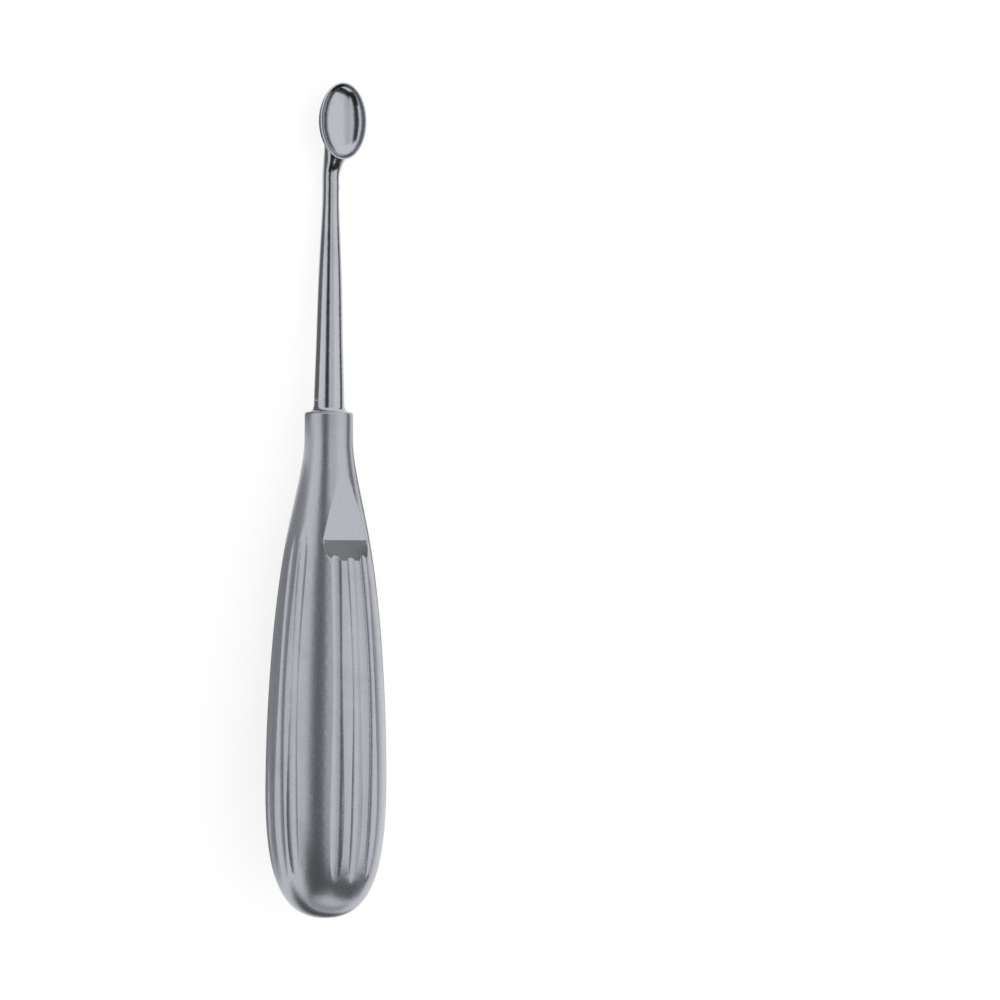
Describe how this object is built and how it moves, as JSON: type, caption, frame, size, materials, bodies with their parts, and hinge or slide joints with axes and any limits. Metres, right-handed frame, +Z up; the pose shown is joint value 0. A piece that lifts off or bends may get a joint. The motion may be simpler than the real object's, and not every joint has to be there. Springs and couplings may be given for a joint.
{
  "type": "bone curette",
  "caption": "Hand instrument with a sharp oval spoon-shaped cup on a tapered shaft and a hollow fluted pear-shaped handle with a thumb rest.",
  "frame": {"origin": "centre of the bounding box at floor level, with the curette lying on its back", "axes": "+Y runs towards the cup, +Z points up through the thumb rest and the cup's mouth, +X is to the right seen from above with the cup away from the viewer"},
  "size_m": [0.0246, 0.1696, 0.0267],
  "materials": {
    "handle_steel": "satin stainless steel",
    "blade_steel": "polished stainless steel"
  },
  "bodies": {
    "root": {"handle": "handle_steel", "blade": "blade_steel"}
  },
  "joints": []
}
